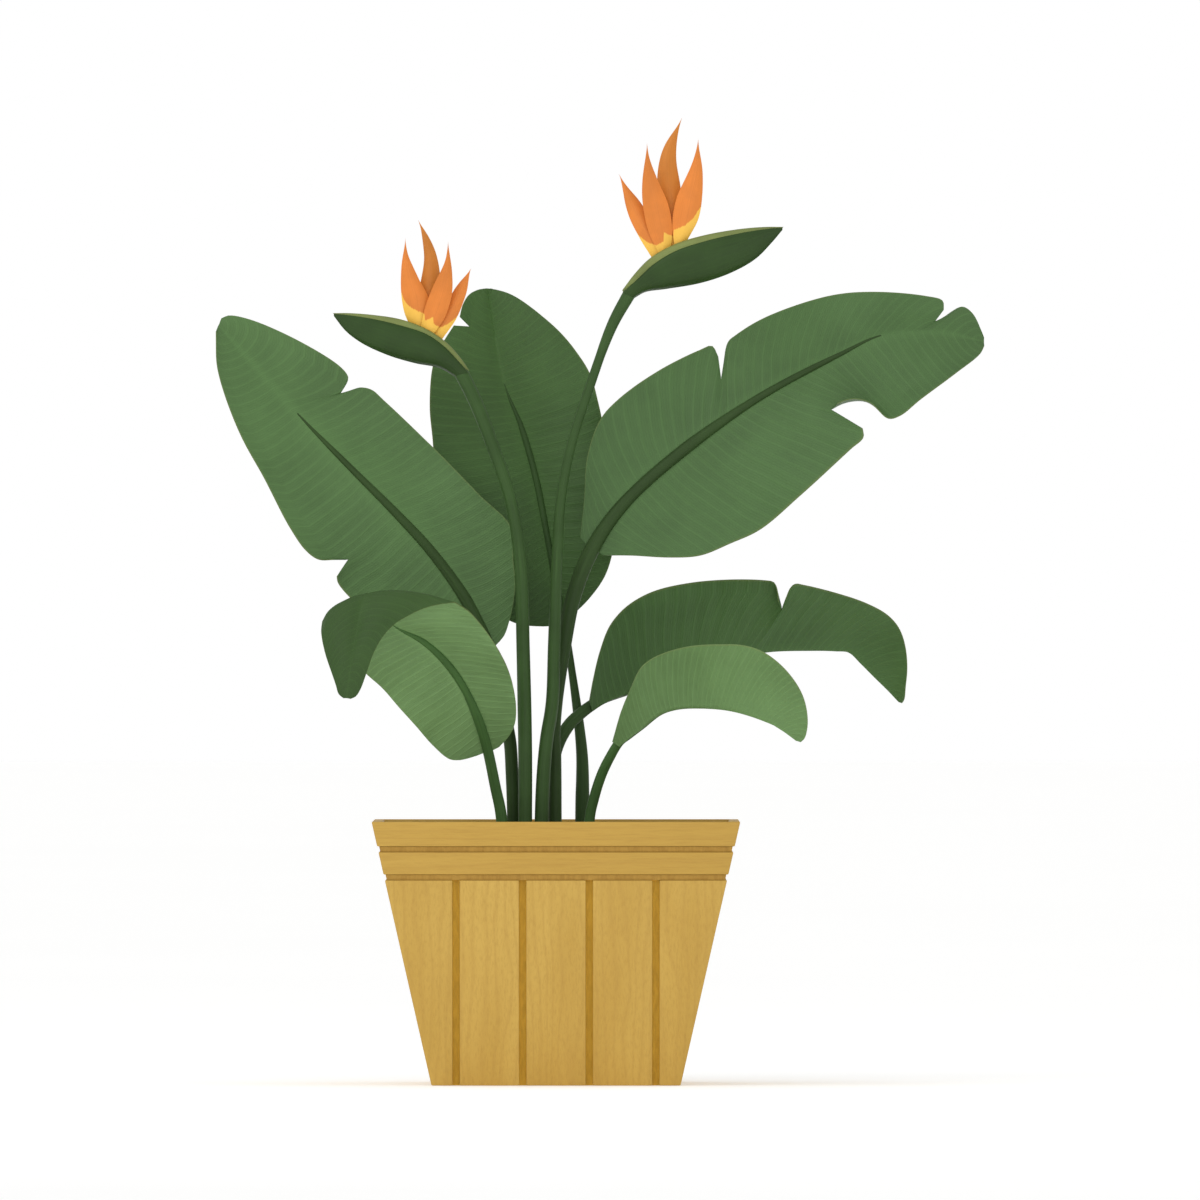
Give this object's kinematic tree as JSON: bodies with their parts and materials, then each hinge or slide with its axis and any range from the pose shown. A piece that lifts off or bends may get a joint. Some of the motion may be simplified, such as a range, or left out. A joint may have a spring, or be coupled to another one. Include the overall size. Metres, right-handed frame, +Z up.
{
  "type": "potted bird of paradise",
  "caption": "Flowering plant with paddle leaves and orange crested flowers in a square tapered timber planter; stands free on its base.",
  "frame": {"origin": "middle of the planter's floor, on the surface it stands on", "axes": "+Z up, -Y the plant's front, +X to the right seen from the front"},
  "size_m": [0.7689, 0.3879, 0.9663],
  "materials": {
    "planter_wood": "matte",
    "planter_box": "matte",
    "potting_soil": "matte",
    "leaf_mid_green": "satin",
    "leaf_dark_green": "satin",
    "leaf_light_green": "satin",
    "stalk_green": "satin",
    "stalk_dark_green": "satin",
    "stalk_light_green": "satin",
    "flower_green": "satin",
    "beak_lip": "satin",
    "sepal_orange": "satin",
    "sepal_amber": "satin"
  },
  "bodies": {
    "root": {"board_front_1": "planter_wood", "board_front_2": "planter_wood", "board_front_3": "planter_wood", "board_front_4": "planter_wood", "board_front_5": "planter_wood", "lower_rail_front": "planter_wood", "top_rail_front": "planter_wood", "board_right_1": "planter_wood", "board_right_2": "planter_wood", "board_right_3": "planter_wood", "board_right_4": "planter_wood", "board_right_5": "planter_wood", "lower_rail_right": "planter_wood", "top_rail_right": "planter_wood", "board_back_1": "planter_wood", "board_back_2": "planter_wood", "board_back_3": "planter_wood", "board_back_4": "planter_wood", "board_back_5": "planter_wood", "lower_rail_back": "planter_wood", "top_rail_back": "planter_wood", "board_left_1": "planter_wood", "board_left_2": "planter_wood", "board_left_3": "planter_wood", "board_left_4": "planter_wood", "board_left_5": "planter_wood", "lower_rail_left": "planter_wood", "top_rail_left": "planter_wood", "planter_inner_box": "planter_box", "potting_soil": "potting_soil", "leaf_left_blade": "leaf_mid_green", "leaf_left_stalk": "stalk_green", "leaf_back_blade": "leaf_dark_green", "leaf_back_stalk": "stalk_dark_green", "leaf_right_blade": "leaf_mid_green", "leaf_right_stalk": "stalk_green", "leaf_front_left_blade": "leaf_light_green", "leaf_front_left_stalk": "stalk_light_green", "leaf_right_arching_blade": "leaf_dark_green", "leaf_right_arching_stalk": "stalk_dark_green", "leaf_front_right_blade": "leaf_light_green", "leaf_front_right_stalk": "stalk_light_green", "flower_left_stem": "flower_green", "flower_left_beak": "flower_green", "flower_left_lip": "beak_lip", "flower_left_sepal_orange_1": "sepal_orange", "flower_left_sepal_amber": "sepal_amber", "flower_left_sepal_orange_2": "sepal_orange", "flower_left_sepal_orange_3": "sepal_orange", "flower_right_stem": "flower_green", "flower_right_beak": "flower_green", "flower_right_lip": "beak_lip", "flower_right_sepal_orange_1": "sepal_orange", "flower_right_sepal_amber": "sepal_amber", "flower_right_sepal_orange_2": "sepal_orange", "flower_right_sepal_orange_3": "sepal_orange"}
  },
  "joints": []
}
